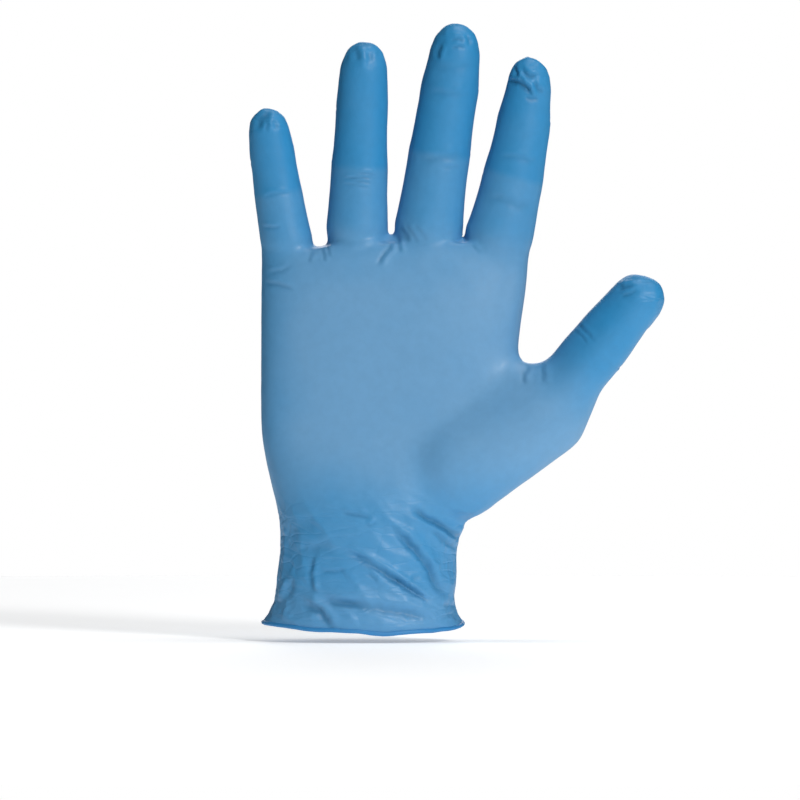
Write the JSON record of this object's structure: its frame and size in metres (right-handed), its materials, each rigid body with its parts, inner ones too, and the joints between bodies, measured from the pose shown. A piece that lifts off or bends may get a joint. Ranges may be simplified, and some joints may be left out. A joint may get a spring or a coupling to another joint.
{
  "type": "disposable nitrile glove",
  "caption": "Thin disposable work glove in its worn shape, with a rolled bead at the wrist and digits that bend at their joints.",
  "frame": {"origin": "centre of the glove's mouth, at the height of the lowest point of its rolled bead", "axes": "+Z from the mouth to the fingertips, -Y the palm side, +X the thumb side"},
  "size_m": [0.1515, 0.0494, 0.225],
  "materials": {
    "film": "satin nitrile film",
    "palm_film": "satin nitrile film, stretched and a little paler",
    "bead": "satin nitrile, rolled and thicker"
  },
  "bodies": {
    "cuff": {"cuff": "film", "cuff_bead": "bead", "wrist_fold": "film"},
    "hand": {"palm": "palm_film", "index_base_fold": "film", "middle_base_fold": "film", "ring_base_fold": "film", "little_base_fold": "film", "thumb_base_fold": "film"},
    "index_base": {"index_base": "film", "index_middle_fold": "film"},
    "index_middle": {"index_middle": "film", "index_tip_fold": "film"},
    "index_tip": {"index_tip": "film"},
    "middle_base": {"middle_base": "film", "middle_middle_fold": "film"},
    "middle_middle": {"middle_middle": "film", "middle_tip_fold": "film"},
    "middle_tip": {"middle_tip": "film"},
    "ring_base": {"ring_base": "film", "ring_middle_fold": "film"},
    "ring_middle": {"ring_middle": "film", "ring_tip_fold": "film"},
    "ring_tip": {"ring_tip": "film"},
    "little_base": {"little_base": "film", "little_middle_fold": "film"},
    "little_middle": {"little_middle": "film", "little_tip_fold": "film"},
    "little_tip": {"little_tip": "film"},
    "thumb_base": {"thumb_base": "film", "thumb_tip_fold": "film"},
    "thumb_tip": {"thumb_tip": "film"}
  },
  "joints": [
    {"name": "wrist_bend", "type": "hinge", "parent": "cuff", "child": "hand", "pos_m": [0.0024, 0, 0.036], "axis": [1, 0, 0], "range_deg": [-50, 50], "deforming": ["wrist_fold"]},
    {"name": "index_base_bend", "type": "hinge", "parent": "hand", "child": "index_base", "pos_m": [0.052, -0.00337, 0.15305], "axis": [0.9603, 0, -0.279], "range_deg": [-15, 70], "deforming": ["index_base_fold"]},
    {"name": "index_middle_bend", "type": "hinge", "parent": "index_base", "child": "index_middle", "pos_m": [0.056, -0.00419, 0.16928], "axis": [0.9603, 0, -0.279], "range_deg": [0, 80], "deforming": ["index_middle_fold"]},
    {"name": "index_tip_bend", "type": "hinge", "parent": "index_middle", "child": "index_tip", "pos_m": [0.05994, -0.00583, 0.18971], "axis": [0.9603, 0, -0.279], "range_deg": [0, 54], "deforming": ["index_tip_fold"]},
    {"name": "middle_base_bend", "type": "hinge", "parent": "hand", "child": "middle_base", "pos_m": [0.02531, -0.00343, 0.1566], "axis": [0.9869, 0, -0.1616], "range_deg": [-15, 70], "deforming": ["middle_base_fold"]},
    {"name": "middle_middle_bend", "type": "hinge", "parent": "middle_base", "child": "middle_middle", "pos_m": [0.02864, -0.00457, 0.17739], "axis": [0.9869, 0, -0.1616], "range_deg": [0, 80], "deforming": ["middle_middle_fold"]},
    {"name": "middle_tip_bend", "type": "hinge", "parent": "middle_middle", "child": "middle_tip", "pos_m": [0.03232, -0.00689, 0.20111], "axis": [0.9869, 0, -0.1616], "range_deg": [0, 54], "deforming": ["middle_tip_fold"]},
    {"name": "ring_base_bend", "type": "hinge", "parent": "hand", "child": "ring_base", "pos_m": [-0.00158, -0.00318, 0.15629], "axis": [0.9992, 0, -0.0401], "range_deg": [-15, 70], "deforming": ["ring_base_fold"]},
    {"name": "ring_middle_bend", "type": "hinge", "parent": "ring_base", "child": "ring_middle", "pos_m": [-0.00089, -0.00403, 0.17262], "axis": [0.9992, 0, -0.0401], "range_deg": [0, 80], "deforming": ["ring_middle_fold"]},
    {"name": "ring_tip_bend", "type": "hinge", "parent": "ring_middle", "child": "ring_tip", "pos_m": [0.00012, -0.00622, 0.19531], "axis": [0.9992, 0, -0.0401], "range_deg": [0, 54], "deforming": ["ring_tip_fold"]},
    {"name": "little_base_bend", "type": "hinge", "parent": "hand", "child": "little_base", "pos_m": [-0.02879, -0.0027, 0.15003], "axis": [0.9842, 0, 0.1771], "range_deg": [-15, 70], "deforming": ["little_base_fold"]},
    {"name": "little_middle_bend", "type": "hinge", "parent": "little_base", "child": "little_middle", "pos_m": [-0.03097, -0.00339, 0.16306], "axis": [0.9842, 0, 0.1771], "range_deg": [0, 80], "deforming": ["little_middle_fold"]},
    {"name": "little_tip_bend", "type": "hinge", "parent": "little_middle", "child": "little_tip", "pos_m": [-0.03321, -0.00487, 0.1778], "axis": [0.9842, 0, 0.1771], "range_deg": [0, 54], "deforming": ["little_tip_fold"]},
    {"name": "thumb_base_bend", "type": "hinge", "parent": "hand", "child": "thumb_base", "pos_m": [0.07792, -0.01082, 0.09914], "axis": [0.4327, -0.7566, -0.4902], "range_deg": [-10, 35], "deforming": ["thumb_base_fold"]},
    {"name": "thumb_tip_bend", "type": "hinge", "parent": "thumb_base", "child": "thumb_tip", "pos_m": [0.08543, -0.01268, 0.1084], "axis": [0.4327, -0.7566, -0.4902], "range_deg": [-10, 65], "deforming": ["thumb_tip_fold"]}
  ],
  "couplings": [
    {"joint": "index_tip_bend", "follows": "index_middle_bend", "ratio": 0.6667},
    {"joint": "middle_tip_bend", "follows": "middle_middle_bend", "ratio": 0.6667},
    {"joint": "ring_tip_bend", "follows": "ring_middle_bend", "ratio": 0.6667},
    {"joint": "little_tip_bend", "follows": "little_middle_bend", "ratio": 0.6667}
  ]
}
